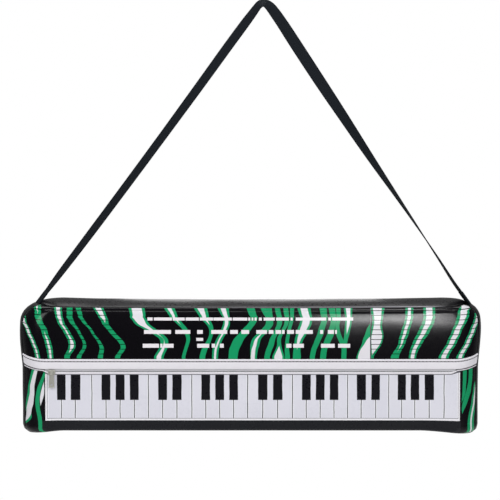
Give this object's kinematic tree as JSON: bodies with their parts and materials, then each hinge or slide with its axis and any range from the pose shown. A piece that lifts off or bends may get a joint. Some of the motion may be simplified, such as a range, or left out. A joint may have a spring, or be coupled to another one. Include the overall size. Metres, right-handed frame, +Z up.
{
  "type": "melodica carry bag",
  "caption": "Long padded melodica bag with a wavy-striped and keyboard-print front, a zip mouth under a white band, and a webbing shoulder strap.",
  "frame": {"origin": "the hanging point, where the underside of the strap rests on a hook, peg or shoulder", "axes": "+X along the bag, to the right seen from the printed front; +Y from the front to the back; +Z up"},
  "size_m": [0.4598, 0.0746, 0.4319],
  "materials": {
    "webbing": "woven flat webbing, black",
    "black_leather": "imitation leather, black, semi-gloss, fine grain",
    "printed_leather": "printed imitation leather, semi-gloss",
    "white_band": "white imitation leather, satin",
    "zip_tape": "woven polyester tape, pale grey",
    "zip_coil": "nylon coil, grey",
    "zip_metal": "cast zinc alloy, dull nickel",
    "foam": "closed-cell foam sheet",
    "board": "stiff polyethylene board",
    "lining": "plain-weave lining cloth, dark grey"
  },
  "bodies": {
    "strap": {"strap": "webbing"},
    "bag": {"strap_tab_left": "webbing", "strap_tab_right": "webbing", "top_panel": "black_leather", "bottom_panel": "black_leather", "back_panel": "black_leather", "upper_panel_ends": "printed_leather", "lower_panel_ends": "printed_leather", "top_board": "board", "base_board": "board", "foam_back": "foam", "lining_body": "lining", "band_ends": "white_band", "edging_ends": "white_band", "zip_ends": "zip_tape"},
    "upper_lip": {"front_panel_upper": "printed_leather", "foam_upper": "foam", "lining_upper": "lining", "zip_band": "white_band", "zip_tape_upper": "zip_tape", "zip_coil_upper": "zip_coil"},
    "lower_lip": {"front_panel_lower": "printed_leather", "foam_lower": "foam", "lining_lower": "lining", "zip_edging": "white_band", "zip_tape_lower": "zip_tape", "zip_coil_lower": "zip_coil"},
    "slider": {"slider_body": "zip_metal"},
    "pull": {"pull_tab": "zip_metal"}
  },
  "joints": [
    {"name": "bag_swing", "type": "hinge", "parent": "strap", "child": "bag", "pos_m": [0, 0, -0.2916], "axis": [1, 0, 0], "range_deg": [-85, 85], "deforming": ["strap_tab_left", "strap_tab_right"]},
    {"name": "lower_lip_open", "type": "hinge", "parent": "bag", "child": "lower_lip", "pos_m": [-0.013, -0.0335, -0.4228], "axis": [1, 0, 0], "range_deg": [0, 50]},
    {"name": "upper_lip_open", "type": "hinge", "parent": "bag", "child": "upper_lip", "pos_m": [-0.013, -0.028, -0.3], "axis": [-1, 0, 0], "range_deg": [0, 45]},
    {"name": "slider_travel", "type": "slide", "parent": "bag", "child": "slider", "axis": [1, 0, 0], "range_m": [0, 0.398]},
    {"name": "pull_turn", "type": "hinge", "parent": "slider", "child": "pull", "pos_m": [-0.2123, -0.037, -0.3654], "axis": [0, 1, 0], "range_deg": [-90, 90]}
  ]
}
